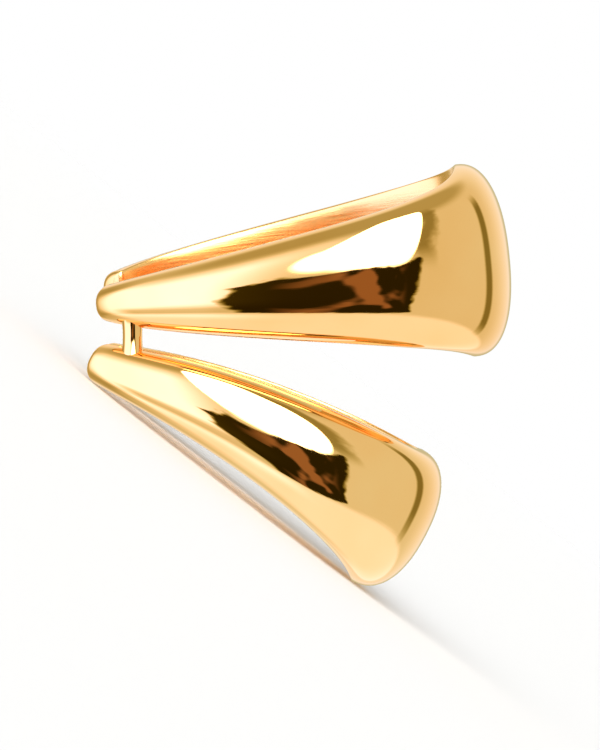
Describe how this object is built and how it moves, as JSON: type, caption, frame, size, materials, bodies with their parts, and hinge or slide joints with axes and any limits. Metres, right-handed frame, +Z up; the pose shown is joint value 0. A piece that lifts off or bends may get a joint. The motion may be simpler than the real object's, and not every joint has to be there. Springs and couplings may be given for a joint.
{
  "type": "ear cuff",
  "caption": "Polished gold ear cuff: domed bands taper to slim open arms and splay in a V from a short link.",
  "frame": {"origin": "middle of the bottom of the bounding box, on the surface the cuff lies on", "axes": "+X from the open arm ends to the domes, +Z up off the surface, -Y towards the side worn to the front of the ear"},
  "size_m": [0.0182, 0.012, 0.0175],
  "materials": {
    "gold": "high-polish gold plate over brass, mirror bright"
  },
  "bodies": {
    "root": {"double_cuff": "gold"}
  },
  "joints": []
}
